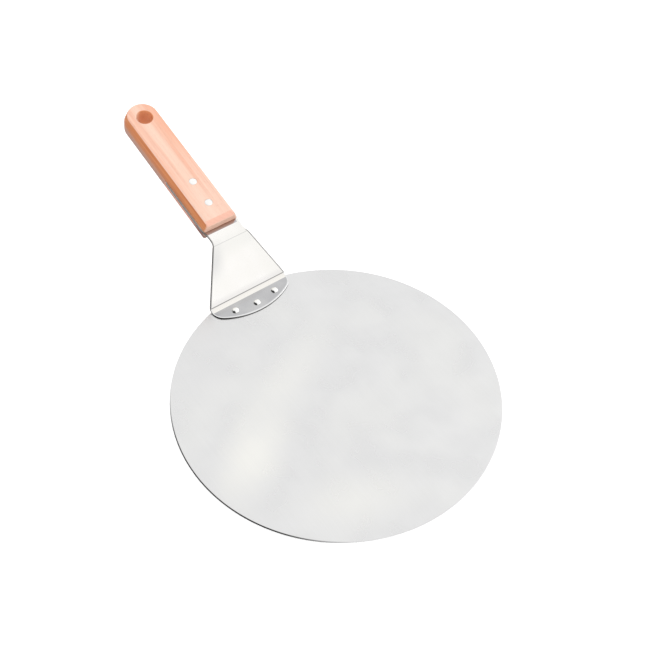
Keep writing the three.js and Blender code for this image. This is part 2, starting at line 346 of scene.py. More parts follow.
def clouds_group():
    """Soft patches: noise in two sizes, spread to 0 to 1 between two levels."""
    inputs = {"Vector": ("NodeSocketVector", None), "Scale": ("NodeSocketFloat", 20.0),
              "Low": ("NodeSocketFloat", 0.35), "High": ("NodeSocketFloat", 0.65)}
    group, given, out = new_group("soft_clouds", inputs, {"Mask": "NodeSocketFloat"})
    noise = put(group, "ShaderNodeTexNoise", {"Vector": given["Vector"], "Scale": given["Scale"],
                                              "Detail": 2.5, "Roughness": 0.45})
    sockets = {"Value": noise.outputs["Fac"], "From Min": given["Low"], "From Max": given["High"]}
    mask = put(group, "ShaderNodeMapRange", sockets, interpolation_type="SMOOTHSTEP")
    group.links.new(mask.outputs["Result"], out["Mask"])
    return group


def rolling_group():
    """Rolled sheet: hair lines along Y, which are noise stretched about eighty times, and as stray
    scratches the highest peaks of another stretched noise, turned a little."""
    inputs = {"Vector": ("NodeSocketVector", None), "Lines": ("NodeSocketFloat", 2400.0)}
    group, given, out = new_group("rolled_lines", inputs,
                                  {"Lines": "NodeSocketFloat", "Scratches": "NodeSocketFloat"})
    stretch = put(group, "ShaderNodeMapping", {"Vector": given["Vector"], "Scale": (1.0, 0.012, 1.0)})
    lines = put(group, "ShaderNodeTexNoise", {"Vector": stretch.outputs[0], "Scale": given["Lines"],
                                              "Detail": 2.0, "Roughness": 0.6})
    group.links.new(lines.outputs["Fac"], out["Lines"])
    turn = put(group, "ShaderNodeMapping", {"Vector": given["Vector"], "Rotation": (0, 0, 0.6)})
    drawn = put(group, "ShaderNodeMapping", {"Vector": turn.outputs[0], "Scale": (1.0, 0.02, 1.0)})
    strokes = put(group, "ShaderNodeTexNoise", {"Vector": drawn.outputs[0], "Scale": 1500.0,
                                                "Detail": 1.0})
    group.links.new(ranged(group, strokes.outputs["Fac"], 0.70, 0.80), out["Scratches"])
    return group


def timber_group():
    """Straight-grained wood in the tang's frame. Growth rings are circles about a line along the grip and
    outside it, bent by slow noise. Pores are short dashes, and the fleck is long soft streaks."""
    inputs = {"Vector": ("NodeSocketVector", None)}
    group, given, out = new_group("straight_timber", inputs, {
        "Rings": "NodeSocketFloat", "Streaks": "NodeSocketFloat", "Pores": "NodeSocketFloat"})
    drift = put(group, "ShaderNodeMapping", {"Vector": given["Vector"], "Scale": (1.0, 0.12, 1.0)})
    wander = put(group, "ShaderNodeTexNoise", {"Vector": drift.outputs[0], "Scale": 60.0, "Detail": 2.0})
    away = put(group, "ShaderNodeMapping", {"Vector": given["Vector"], "Location": (0.021, 0, 0.034),
                                            "Scale": (1.0, 0.0, 1.0)})
    far = put(group, "ShaderNodeVectorMath", {0: away.outputs[0]}, operation="LENGTH").outputs["Value"]
    bent = maths(group, "ADD", far, maths(group, "MULTIPLY", wander.outputs["Fac"], 0.006))
    waves = maths(group, "SINE", maths(group, "MULTIPLY", bent, 2 * math.pi / 0.0023))
    group.links.new(ranged(group, waves, -1.0, 1.0), out["Rings"])
    long = put(group, "ShaderNodeMapping", {"Vector": given["Vector"], "Scale": (1.0, 0.03, 1.0)})
    streaks = put(group, "ShaderNodeTexNoise", {"Vector": long.outputs[0], "Scale": 520.0,
                                                "Detail": 3.0, "Roughness": 0.6})
    group.links.new(streaks.outputs["Fac"], out["Streaks"])
    short = put(group, "ShaderNodeMapping", {"Vector": given["Vector"], "Scale": (1.0, 0.09, 1.0)})
    dashes = put(group, "ShaderNodeTexNoise", {"Vector": short.outputs[0], "Scale": 2600.0,
                                               "Detail": 1.0})
    group.links.new(ranged(group, dashes.outputs["Fac"], 0.60, 0.72), out["Pores"])
    return group


SOFT_CLOUDS = clouds_group()
ROLLED_LINES = rolling_group()
STRAIGHT_TIMBER = timber_group()


# ---- Materials

def new_material(name):
    """A material with a Principled shader, and its tree, shader and Object coordinates."""
    material = bpy.data.materials.new(name)
    material.use_nodes = True
    tree = material.node_tree
    place = put(tree, "ShaderNodeTexCoord").outputs["Object"]
    return material, tree, tree.nodes["Principled BSDF"], place


def wire(tree, shader, **sockets):
    """Sets or links a shader's inputs, named with underscores for spaces."""
    for name, value in sockets.items():
        feed(tree, shader.inputs[name.replace("_", " ")], value)


def marks(tree):
    """The values kept per point of a mesh: (first, second, third)."""
    kept = put(tree, "ShaderNodeAttribute", attribute_name="mark", attribute_type="GEOMETRY")
    split = put(tree, "ShaderNodeSeparateXYZ", {0: kept.outputs["Vector"]})
    return split.outputs


def bumped(tree, height, distance, strength=1.0):
    """A bump of a height map, its full depth in metres."""
    return put(tree, "ShaderNodeBump", {"Height": height, "Distance": distance,
                                        "Strength": strength}).outputs["Normal"]


def toward_painted_dark_side(tree, vector, low, high):
    """1 where a vector points to the side on which edges get a painted dark reflection, falling to 0 at the
    low limit.
    """
    unit = put(tree, "ShaderNodeVectorMath", {0: vector}, operation="NORMALIZE").outputs["Vector"]
    facing = put(tree, "ShaderNodeVectorMath", {0: unit, 1: PAINTED_DARK_SIDE}, operation="DOT_PRODUCT")
    return ranged(tree, facing.outputs["Value"], low, high)


# near-black painted into edges and borders as a dark reflection and shade
PAINTED_DARK_EDGE = srgb(34, 33, 33)


def blade_material():
    """Satin rolled steel: pale neutral grey, with cloudy lighter patches that are partly random tone and
    partly painted soft reflection, lighter sweeps that are painted reflections, and a sheared rim with a
    painted dark reflection on one side."""
    material, tree, shader, place = new_material("blade_rolled_steel")
    patches = use_group(tree, SOFT_CLOUDS, {"Vector": place, "Scale": 16.0, "Low": 0.42, "High": 0.66})
    haze = use_group(tree, SOFT_CLOUDS, {"Vector": place, "Scale": 34.0, "Low": 0.30, "High": 0.75})
    rolled = use_group(tree, ROLLED_LINES, {"Vector": place})
    # cloudy patches: partly random tone, partly painted soft reflection
    colour = blended(tree, haze["Mask"], srgb(227, 227, 227), srgb(232, 232, 232))
    colour = blended(tree, maths(tree, "MULTIPLY", patches["Mask"], 0.5), colour, srgb(234, 234, 232))
    # lighter sweeps painted at fixed places as reflections
    for centre, turn, size, share in PAINTED_REFLECTION_SWEEPS:
        sockets = {"Vector": place, "Location": np.array((*centre, 0.0)) * MM,
                   "Rotation": (0, 0, math.radians(turn)), "Scale": np.array((*size, 1000.0)) * MM}
        sweep = put(tree, "ShaderNodeMapping", sockets, vector_type="TEXTURE").outputs[0]
        away = put(tree, "ShaderNodeVectorMath", {0: sweep}, operation="LENGTH").outputs["Value"]
        ragged = maths(tree, "ADD", away, maths(tree, "MULTIPLY", haze["Mask"], 0.25))
        mask = maths(tree, "MULTIPLY", ranged(tree, ragged, 1.15, 0.15), share)
        colour = blended(tree, mask, colour, srgb(250, 249, 243))
    lines = ranged(tree, rolled["Lines"], 0.35, 0.65, 0.985, 1.0)
    colour = blended(tree, 1.0, colour, lines, "MULTIPLY")
    rim = marks(tree)[0]
    # the rim is painted dark where it faces the flag's side: a painted dark reflection
    painted_dark_reflection = toward_painted_dark_side(tree, place, 0.66, 0.93)
    colour = blended(tree, rim, colour, blended(tree, painted_dark_reflection, srgb(226, 226, 226), PAINTED_DARK_EDGE))
    roughness = ranged(tree, haze["Mask"], 0.0, 1.0, 0.27, 0.33)
    wire(tree, shader, Base_Color=colour, Metallic=1.0, Roughness=roughness,
         Normal=bumped(tree, rolled["Lines"], 0.000002))
    return material


def bracket_material():
    """Bright sheet. The marks give the place across, as a share of the half width, and the distance along
    the strip, in millimetres, so that each panel has its own tone of painted reflection: a greyer foot, pale
    bends, a near-white flare and tang, with painted shade at the flare's sides and near the bends, and a
    painted dark line in each bend's crease. Just in front of the wood the tang carries a painted reflection
    of the wood with painted shadow. The third mark is 1 on the sheared edge and a little less than a half on
    the border beside it, which has a painted highlight round the foot and a painted dark reflection above
    it; the sheared edge is painted light above and in shadow below along the foot, and dark on the flare's
    right and on the flag's side."""
    material, tree, shader, place = new_material("bracket_bright_steel")
    share, along, edge = marks(tree)
    start = FOOT_LENGTH - LOWER_BEND_REACH
    crease = FOOT_LENGTH + LOWER_BEND_REACH
    upper = FOOT_LENGTH + FLARE_LENGTH
    wood = upper + GRIP_FRONT
    clouds = use_group(tree, SOFT_CLOUDS, {"Vector": place, "Scale": 45.0, "Low": 0.35, "High": 0.7})
    rolled = use_group(tree, ROLLED_LINES, {"Vector": place})
    # the panels' tones are painted reflection: a greyer foot, pale bends, a near-white flare and tang
    foot = blended(tree, clouds["Mask"], srgb(188, 188, 190), srgb(204, 204, 204))
    panel = blended(tree, clouds["Mask"], srgb(252, 250, 246), srgb(255, 253, 250))
    # painted shade down the flare's left side, and a lighter painted shade at its right
    flare_left_shade = maths(tree, "MULTIPLY", ranged(tree, share, -0.35, -1.0), pulse(tree, along, crease + 36, 22))
    panel = blended(tree, maths(tree, "MULTIPLY", flare_left_shade, 0.9), panel, srgb(230, 229, 228))
    warm = maths(tree, "MULTIPLY", ranged(tree, share, 0.35, 1.0), 0.25)
    panel = blended(tree, warm, panel, srgb(238, 237, 232))
    colour = blended(tree, ranged(tree, along, start - 0.3, start + 0.3), foot, srgb(248, 245, 239))
    colour = blended(tree, ranged(tree, along, crease - 0.2, crease + 0.2), colour, panel)
    # painted shade at the bends: a dark line in the lower crease, soft shade beside it and below the upper
    # bend, and a fainter dark line in the upper crease
    colour = blended(tree, pulse(tree, along, crease, 0.75), colour, srgb(78, 75, 73))
    low = maths(tree, "MULTIPLY", pulse(tree, along, crease + 1.5, 5.0), 0.35)
    colour = blended(tree, low, colour, srgb(222, 220, 220))
    near_upper = maths(tree, "MULTIPLY", pulse(tree, along, upper - 4.0, 12.0), 0.30)
    colour = blended(tree, near_upper, colour, srgb(236, 236, 232))
    line = maths(tree, "MULTIPLY", pulse(tree, along, upper, 0.7), 0.40)
    colour = blended(tree, line, colour, srgb(188, 188, 186))
    colour = blended(tree, maths(tree, "MULTIPLY", rolled["Scratches"], 0.10), colour, srgb(190, 190, 190))
    # painted reflection of the wood's front face in the tang, darkest as painted shadow right next to the
    # wood
    wood_reflection_shade = maths(tree, "MULTIPLY", ranged(tree, along, wood - WOOD_IMAGE, wood - WOOD_IMAGE + 0.6),
                ranged(tree, along, wood + 1.6, wood + 0.8))
    wood_reflection_shade = maths(tree, "MULTIPLY", wood_reflection_shade, ranged(tree, share, 1.0, 0.92))
    near_wood_shadow = ranged(tree, along, wood - 2.0, wood - 0.8)
    colour = blended(tree, wood_reflection_shade, colour, blended(tree, near_wood_shadow, srgb(192, 187, 189), srgb(180, 160, 152)))
    normal = put(tree, "ShaderNodeNewGeometry").outputs["Normal"]
    painted_dark_reflection = toward_painted_dark_side(tree, normal, 0.25, 0.70)
    rising = ranged(tree, along, crease - 1.0, crease + 1.0)
    climbing = maths(tree, "MULTIPLY", rising, ranged(tree, along, upper + 3.0, upper + 1.0))
    climbing = maths(tree, "MULTIPLY", climbing, ranged(tree, share, 0.9, 1.0))
    height = put(tree, "ShaderNodeSeparateXYZ", {0: place}).outputs["Z"]
    # along the foot the edge gets a painted highlight on its upper part and a painted contact shadow below;
    # the flare's right edge and edges facing the flag are painted dark as reflection
    foot_edge = ranged(tree, height, (FOOT_TOP - 0.7) * MM, (FOOT_TOP - 0.3) * MM)
    edge_light_and_shade = blended(tree, foot_edge, srgb(96, 95, 95), srgb(246, 246, 246))
    edge_light_and_shade = blended(tree, rising, edge_light_and_shade, srgb(226, 226, 224))
    edge_light_and_shade = blended(tree, climbing, edge_light_and_shade, PAINTED_DARK_EDGE)
    edge_light_and_shade = blended(tree, painted_dark_reflection, edge_light_and_shade, PAINTED_DARK_EDGE)
    # painted highlight on the border round the foot, and painted dark reflection on the borders beside the
    # left edge above the foot and the flare's right edge
    light = maths(tree, "MULTIPLY", ranged(tree, edge, 0.0, BORDER_MARK),
                  maths(tree, "SUBTRACT", 1.0, rising))
    colour = blended(tree, maths(tree, "MULTIPLY", light, 0.85), colour, srgb(236, 236, 236))
    left = maths(tree, "MULTIPLY", rising, ranged(tree, share, -0.9, -1.0))
    dark = maths(tree, "ADD", maths(tree, "MULTIPLY", left, LEFT_BORDER_DARK),
                 maths(tree, "MULTIPLY", climbing, RIGHT_BORDER_DARK))
    dark = maths(tree, "MULTIPLY", ranged(tree, edge, 0.30, BORDER_MARK), dark)
    colour = blended(tree, dark, colour, PAINTED_DARK_EDGE)
    colour = blended(tree, ranged(tree, edge, 0.5, 0.8), colour, edge_light_and_shade)
    roughness = ranged(tree, clouds["Mask"], 0.0, 1.0, 0.07, 0.12)
    wire(tree, shader, Base_Color=colour, Metallic=1.0, Roughness=roughness,
         Normal=bumped(tree, rolled["Lines"], 0.000002))
    return material


def rivet_material(name, smoothest, roughest):
    """Steel with faint rub marks, between two roughnesses."""
    material, tree, shader, place = new_material(name)
    rub = use_group(tree, SOFT_CLOUDS, {"Vector": place, "Scale": 700.0, "Low": 0.3, "High": 0.7})
    wire(tree, shader, Base_Color=blended(tree, rub["Mask"], srgb(250, 250, 248), srgb(255, 255, 253)),
         Metallic=1.0, Roughness=ranged(tree, rub["Mask"], 0.0, 1.0, smoothest, roughest))
    return material


def wood_material():
    """Pale oiled wood: a peach face, deeper orange-brown flanks whose tone is partly the edge grain's own
    and partly painted shade, straight grain and short pores. Broad bands of tone run along the grain. The
    flanks turn greyer towards the underside with painted shade and painted reflection, and below the tang
    their cheeks carry a painted shadow of the tang, dark at the front and a pale red-brown behind. Inside a
    hole the wood is painted lighter on one side and darker on the other. The marks are (1 on the flanks, 1
    in a hole, 1 on the front bevel)."""
    material, tree, shader, place = new_material("grip_oiled_wood")
    shift = (0.0, UPPER_CORNER[0] * MM, UPPER_CORNER[1] * MM)
    local = put(tree, "ShaderNodeMapping", {"Vector": place, "Location": shift,
                                            "Rotation": (math.radians(TANG_TILT), 0, 0)},
                vector_type="TEXTURE").outputs[0]
    across, along, height = put(tree, "ShaderNodeSeparateXYZ", {0: local}).outputs
    timber = use_group(tree, STRAIGHT_TIMBER, {"Vector": local})
    flank, inside, bevel = marks(tree)
    streaks = ranged(tree, timber["Streaks"], 0.32, 0.68)
    face = blended(tree, streaks, srgb(249, 193, 167), srgb(255, 212, 191))
    pale = maths(tree, "MULTIPLY", pulse(tree, across, -0.002, 0.0065), 0.75)
    face = blended(tree, pale, face, srgb(255, 220, 199))
    front = maths(tree, "MULTIPLY", ranged(tree, along, 0.075, 0.020), 0.55)
    face = blended(tree, front, face, srgb(255, 222, 203))
    warm = maths(tree, "MULTIPLY", ranged(tree, across, -0.001, 0.011), ranged(tree, along, 0.055, 0.125))
    face = blended(tree, maths(tree, "MULTIPLY", warm, 0.75), face, srgb(250, 184, 152))
    face = blended(tree, bevel, face, srgb(254, 197, 175))
    # the flanks' deeper tone: partly the edge grain's own colour, partly painted shade
    deep = blended(tree, streaks, srgb(196, 112, 62), srgb(216, 138, 84))
    # painted shade and painted floor reflection: the flanks turn greyer towards the underside
    low = ranged(tree, height, 0.0045, -0.006)
    deep = blended(tree, maths(tree, "MULTIPLY", low, 0.8), deep, srgb(160, 132, 124))
    # painted shadow of the proud tang on the lower cheeks, darkest at the front
    slot = maths(tree, "MULTIPLY", ranged(tree, height, -0.0008, -0.0014),
                 ranged(tree, along, (SLOT_END + 2) * MM, (SLOT_END - 1) * MM))
    shaded_cheek = blended(tree, ranged(tree, along, 0.022, 0.036), srgb(112, 62, 52), srgb(206, 150, 132))
    deep = blended(tree, maths(tree, "MULTIPLY", slot, 0.9), deep, shaded_cheek)
    colour = blended(tree, flank, face, deep)
    ringed = ranged(tree, timber["Rings"], 0.0, 1.0, 0.965, 1.0)
    colour = blended(tree, 1.0, colour, ringed, "MULTIPLY")
    colour = blended(tree, maths(tree, "MULTIPLY", timber["Pores"], 0.18), colour, srgb(196, 128, 98))
    # inside the hole the wood is painted lighter on one side and darker on the other, as light falls
    hole_wall_shading = blended(tree, ranged(tree, across, 0.001, -0.006), srgb(232, 158, 112), srgb(255, 228, 206))
    colour = blended(tree, inside, colour, hole_wall_shading)
    grain = maths(tree, "SUBTRACT", maths(tree, "MULTIPLY", timber["Streaks"], 0.4), timber["Pores"])
    roughness = ranged(tree, timber["Streaks"], 0.3, 0.7, 0.46, 0.56)
    wire(tree, shader, Base_Color=colour, Roughness=roughness, Specular_IOR_Level=0.3,
         Normal=bumped(tree, grain, 0.00004))
    return material


# ---- Blade

BLADE_SEGMENTS = 288
RIVET_SEGMENTS = 48
RIM_FADE = 0.5  # over which the rim's tone fades into the face's


def foot_rivet_places():
    """(node, x, y) of each foot rivet, from its box."""
    nodes = [name for name in sorted(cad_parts) if name.startswith("foot_rivet")]
    return [(node, *((box_mm(node)[0] + box_mm(node)[1]) / 2)[:2]) for node in nodes]


def make_blade():
    """A plate turned about z: a flat top, a half-round rim of half the thickness, and an underside with a
    countersink under each foot rivet. The first mark is 1 on the rim."""
    shell = Shell()
    edge = BLADE_THICKNESS / 2
    inner = BLADE_RADIUS - edge
    rim = arc(inner, edge, edge, -90, 90, 12)
    shell.sheet(turned(rim, BLADE_SEGMENTS), closed=True, mark=1.0)
    fade = np.zeros((2, BLADE_SEGMENTS, 3))
    fade[0] = 1.0
    for z in (0.0, BLADE_THICKNESS):
        border = turned([[inner, z], [inner - RIM_FADE, z]], BLADE_SEGMENTS)
        shell.sheet(border, closed=True, mark=fade.reshape(-1, 3))
    top = [[radius, BLADE_THICKNESS] for radius in (inner - RIM_FADE, 100.0, 60.0, 20.0, 0.0)]
    shell.sheet(turned(top, BLADE_SEGMENTS), closed=True)
    loops = [circle(0, 0, inner - RIM_FADE, BLADE_SEGMENTS)]
    sink = [[FOOT_RIVET_TAIL, 0.0], [FOOT_RIVET_SHANK + HOLE_CLEARANCE, COUNTERSINK_DEPTH],
            [0.0, COUNTERSINK_DEPTH]]
    for _, x, y in foot_rivet_places():
        loops.append(circle(x, y, FOOT_RIVET_TAIL, RIVET_SEGMENTS))
        shell.sheet(turned(sink, RIVET_SEGMENTS) + (x, y, 0.0), closed=True)
    shell.flat(loops, 0.0)
    return shell.piece("blade_plate", ["blade"], blade_material())


# ---- Bracket

def bent(along, depth):
    """(y, z) of a point at a distance along the strip and a depth below its upper face. The upper face's
    line is straight, then an arc of each bend, and depth is measured square to it."""
    bends = [(LOWER_CORNER, FOOT_LENGTH, 0.0, FLARE_ANGLE, LOWER_BEND_RADIUS, LOWER_BEND_REACH),
             (UPPER_CORNER, FOOT_LENGTH + FLARE_LENGTH, FLARE_ANGLE, TANG_TILT, UPPER_BEND_RADIUS,
              UPPER_BEND_REACH)]
    table = [[0.0, FOOT_FRONT_Y, FOOT_TOP, 0.0]]
    for corner, at, before, after, radius, reach in bends:
        share = np.linspace(0, 1, 33)
        angle = np.radians(before + (after - before) * share)
        side = math.copysign(radius, after - before)
        first = math.radians(before)
        y = corner[0] - reach * math.cos(first) + side * (np.sin(angle) - math.sin(first))
        z = corner[1] - reach * math.sin(first) - side * (np.cos(angle) - math.cos(first))
        table.extend(np.column_stack([at + reach * (2 * share - 1), y, z, angle]).tolist())
    tilt = math.radians(TANG_TILT)
    end = UPPER_CORNER + TANG_LENGTH * np.array([math.cos(tilt), math.sin(tilt)])
    table.append([BLANK_LENGTH, end[0], end[1], tilt])
    distance, y, z, angle = np.array(table).T
    angle = np.interp(along, distance, angle)
    return (np.interp(along, distance, y) + depth * np.sin(angle),
            np.interp(along, distance, z) - depth * np.cos(angle))


def blank_half():
    """The right half of the flat blank's outline as (across, along) points from the foot's front to the
    tang's end: the foot's arc, its round corner, the tapering side, the neck's fillet, the shoulder and
    the tang."""
    across = FOOT_HALF_WIDTH - FOOT_CORNER_RADIUS
    reach = FOOT_ARC_RADIUS - FOOT_CORNER_RADIUS
    along = FOOT_ARC_RADIUS - math.sqrt(reach ** 2 - across ** 2)
    meet = math.degrees(math.atan2(along - FOOT_ARC_RADIUS, across))
    taper_start = FOOT_LENGTH + LOWER_BEND_REACH
    neck = FOOT_LENGTH + FLARE_LENGTH + NECK_AFTER_BEND
    taper = math.degrees(math.atan2(FOOT_HALF_WIDTH - NECK_HALF_WIDTH, neck - taper_start))
    fillet_at = neck + NECK_FILLET_RADIUS * math.tan(math.radians(taper / 2))
    shoulder = FOOT_LENGTH + FLARE_LENGTH + SHOULDER_START
    tail = (TANG_HALF_WIDTH - TANG_CORNER_RADIUS, BLANK_LENGTH - TANG_CORNER_RADIUS)
    outline = np.vstack([
        arc(0, FOOT_ARC_RADIUS, FOOT_ARC_RADIUS, -90, meet, 60),
        arc(across, along, FOOT_CORNER_RADIUS, meet, 0, 40)[1:],
        softened([[FOOT_HALF_WIDTH, taper_start - 3], [FOOT_HALF_WIDTH, taper_start],
                  [FOOT_HALF_WIDTH - 3 * math.tan(math.radians(taper)), taper_start + 3]], 1.2),
        arc(NECK_HALF_WIDTH + NECK_FILLET_RADIUS, fillet_at, NECK_FILLET_RADIUS, 180 + taper, 180, 30),
        softened([[NECK_HALF_WIDTH, shoulder - 2], [NECK_HALF_WIDTH, shoulder],
                  [TANG_HALF_WIDTH, shoulder + SHOULDER_LENGTH],
                  [TANG_HALF_WIDTH, shoulder + SHOULDER_LENGTH + 2]], 1.8),
        arc(*tail, TANG_CORNER_RADIUS, 0, 90, 20),
    ])
    return spaced(outline, 0.7)


def drawn_in(outline, inset):
    """A closed outline moved inward by an inset along its normals, which are its turned tangents."""
    ahead = np.roll(outline, -1, axis=0) - np.roll(outline, 1, axis=0)
    ahead /= np.linalg.norm(ahead, axis=1, keepdims=True)
    return outline + inset * np.column_stack([-ahead[:, 1], ahead[:, 0]])


def make_bracket():
    """The blank's outline with rounded edges, bent in two places. Rings of the outline, drawn in by
    r (1 - sin a) at the depth r (1 - cos a), make the edge, and strips across make the two faces.
    The marks are (share of the half width, along, edge), as the material reads them."""
    shell = Shell()
    half = blank_half()
    left = half[::-1] * (-1, 1)
    outline = np.vstack([half, left[:-1]])
    side = np.sign(outline[:, 0])
    a = np.radians(np.linspace(0, 90, 6))
    inset = SHEET_EDGE * (1 - np.sin(a))
    depth = SHEET_EDGE * (1 - np.cos(a))
    inset = np.concatenate([inset, inset[::-1]])
    depth = np.concatenate([depth, SHEET - depth[::-1]])

    def place(blank, depths, share, edge):
        y, z = bent(blank[..., 1], depths)
        points = np.stack([blank[..., 0], y, z], axis=-1)
        kept = np.stack([share + 0 * y, blank[..., 1], edge + 0 * y], axis=-1)
        return points, kept.reshape(-1, 3)

    rings = np.stack([drawn_in(outline, value) for value in inset])
    sheared = np.where(inset < 0.8 * SHEET_EDGE, 1.0, BORDER_MARK)
    points, kept = place(rings, depth[:, None] + np.zeros(rings.shape[:2]), side, sheared[:, None])
    shell.sheet(points, closed=True, mark=kept)
    border = [drawn_in(outline, SHEET_EDGE + inward) for inward in (0.0, BORDER_WIDTH, 2 * BORDER_WIDTH)]
    border_edge = np.array([BORDER_MARK, BORDER_MARK, 0.0])[:, None]
    share = np.linspace(-1, 1, 13)
    for at in (0.0, SHEET):
        points, kept = place(np.stack(border), np.full((3, len(outline)), at), side, border_edge)
        shell.sheet(points, closed=True, mark=kept)
        wide = border[-1][:len(half)]
        rows = np.stack([wide[:, :1] * share, wide[:, 1:] + 0 * share], axis=-1)
        points, kept = place(rows, np.full(rows.shape[:2], at), share, 0.0)
        shell.sheet(points, mark=kept)
    return shell.piece("bracket_sheet", ["bracket"], bracket_material())


# ---- Grip

FRONT_FLANK = 0.20  # how much of the flanks' deeper tone, partly painted shade, the front face has


def grip_ring(side, front):
    """The grip's outline as (x, y), drawn in by side and front: from the slot's end on the right round the
    half-circle butt to the slot's end on the left, then round the square front and back."""
    wide = GRIP_HALF_WIDTH - side
    butt_centre = GRIP_FRONT + GRIP_LENGTH - GRIP_HALF_WIDTH
    low = GRIP_FRONT + front + GRIP_CORNER_RADIUS
    corner = wide - GRIP_CORNER_RADIUS
    rear = np.vstack([[[wide, SLOT_END]], arc(0, butt_centre, wide, 0, 180, 64), [[-wide, SLOT_END]]])
    nose = np.vstack([arc(-corner, low, GRIP_CORNER_RADIUS, 180, 270, 10),
                      arc(corner, low, GRIP_CORNER_RADIUS, 270, 360, 10)])
    return rear, nose


def front_share():
    """For each point of the outline, 1 on the front face and 0 on the sides and the butt."""
    turn = np.sin(np.radians(np.linspace(0, 90, 11)))
    return np.concatenate([np.zeros(len(grip_ring(0.0, 0.0)[0])), turn, turn[::-1]])


def grip_rings(levels):
    """Rings (x, y, z) for levels (z, side inset, front inset)."""
    rings = []
    for z, side, front in levels:
        outline = np.vstack(grip_ring(side, front))
        rings.append(np.column_stack([outline, np.full(len(outline), z)]))
    return np.stack(rings)


def make_grip():
    """Rings stacked from a rounded underside to a bevelled top, with the tang's slot between two stacks.
    The hang hole and the rivets' pockets are turned walls. The marks are as the material reads them."""
    shell = Shell()
    bottom = arc(0, 0, BOTTOM_RADIUS, -90, 0, 8)
    lower = [[GRIP_BOTTOM + BOTTOM_RADIUS + up, BOTTOM_RADIUS - out, BOTTOM_RADIUS - out]
             for out, up in bottom]
    lower = [[GRIP_BOTTOM, BOTTOM_RADIUS + 0.8, BOTTOM_RADIUS + 0.8], *lower, [SLOT_LOW, 0.0, 0.0]]
    upper = softened([
        [SLOT_HIGH, 0.0, 0.0],
        [GRIP_ABOVE - BEVEL_DROP, SIDE_DRAFT, 0.0],
        [GRIP_ABOVE - 0.35 * BEVEL_DROP, SIDE_DRAFT + 0.5 * BEVEL_SIDE, 0.55 * BEVEL_FRONT],
        [GRIP_ABOVE, SIDE_DRAFT + BEVEL_SIDE, BEVEL_FRONT],
        [GRIP_ABOVE, SIDE_DRAFT + BEVEL_SIDE + 1.0, BEVEL_FRONT + 1.0],
    ], 0.55)
    upper = spaced(upper, 0.35)
    rings = grip_rings(lower)
    shell.sheet(rings, closed=True, mark=(1.0, 0.0, 0.0))
    low_ring = rings[-1]
    bottom_loop = rings[0][:, :2]
    rings = grip_rings(upper)
    rear_count = len(grip_ring(0.0, 0.0)[0])
    faces_front = front_share()
    bevel = upper[:, :1] - (GRIP_ABOVE - BEVEL_DROP)
    side_flank = np.clip((0.64 * BEVEL_DROP - bevel) / 0.5, 0, 1)
    front_flank = FRONT_FLANK * np.clip(-bevel / 0.3, 0, 1)
    on_bevel = np.clip(bevel / 0.3, 0, 1) * np.clip((BEVEL_DROP - bevel) / 0.1, 0, 1)
    kept = np.zeros((*rings.shape[:2], 3))
    kept[:, :, 0] = side_flank * (1 - faces_front) + front_flank * faces_front
    kept[:, :, 2] = on_bevel * faces_front
    shell.sheet(rings, closed=True, mark=kept.reshape(-1, 3))
    top_loop = rings[-1][:, :2]
    shell.sheet(np.stack([low_ring[:rear_count], rings[0][:rear_count]]), mark=(1.0, 0.0, 0.0))
    ends = [rear_count - 1, 0]
    shell.sheet(np.stack([low_ring[ends], rings[0][ends]]), mark=(1.0, 1.0, 0.0))
    for ring in (low_ring, rings[0]):
        front_loop = np.vstack([ring[rear_count - 1:], ring[:1]])
        shell.flat([front_loop[:, :2]], ring[0, 2], mark=(1.0, 1.0, 0.0))

    centre = (0.0, HANG_HOLE_AT, 0.0)
    edge = HANG_HOLE_EDGE
    round_top = arc(HANG_HOLE_RADIUS + edge, GRIP_ABOVE - edge, edge, 90, 180, 6)
    round_low = arc(HANG_HOLE_RADIUS + edge, GRIP_BOTTOM + edge, edge, 180, 270, 6)
    hole = turned(np.vstack([round_top, round_low]), 72) + centre
    kept = np.zeros((*hole.shape[:2], 3))
    kept[:, :, 1] = 1.0
    kept[[0, -1], :, 1] = 0.0
    shell.sheet(hole, closed=True, mark=kept.reshape(-1, 3))
    hole_loop = circle(0, HANG_HOLE_AT, HANG_HOLE_RADIUS + edge, 72)
    pocket = GRIP_RIVET_HEAD + HOLE_CLEARANCE
    seat = HEAD_THICKNESS + SEAT_GAP
    top_loops = [top_loop, hole_loop]
    bottom_loops = [bottom_loop, hole_loop]
    for at in GRIP_RIVETS_AT.values():
        loop = circle(0, at, pocket, RIVET_SEGMENTS)
        top_loops.append(loop)
        bottom_loops.append(loop)
        for face, floor in ((GRIP_ABOVE, GRIP_ABOVE - seat), (GRIP_BOTTOM, GRIP_BOTTOM + seat)):
            walls = turned([[pocket, face], [pocket, floor], [0.0, floor]], RIVET_SEGMENTS)
            kept = np.zeros((*walls.shape[:2], 3))
            kept[1:, :, 1] = 1.0
            shell.sheet(walls + (0.0, at, 0.0), closed=True, mark=kept.reshape(-1, 3))
    shell.flat(top_loops, GRIP_ABOVE)
    shell.flat(bottom_loops, GRIP_BOTTOM, mark=(1.0, 0.0, 0.0))
    return shell.piece("grip_wood", ["grip"], wood_material(), tang_place())


# ---- Rivets

def turned_piece(name, node, profile, material, place):
    """A closed solid turned from (r, z) points that start and end on the axis."""
    shell = Shell()
    shell.sheet(turned(profile, RIVET_SEGMENTS), closed=True)
    return shell.piece(name, [node], material, place)


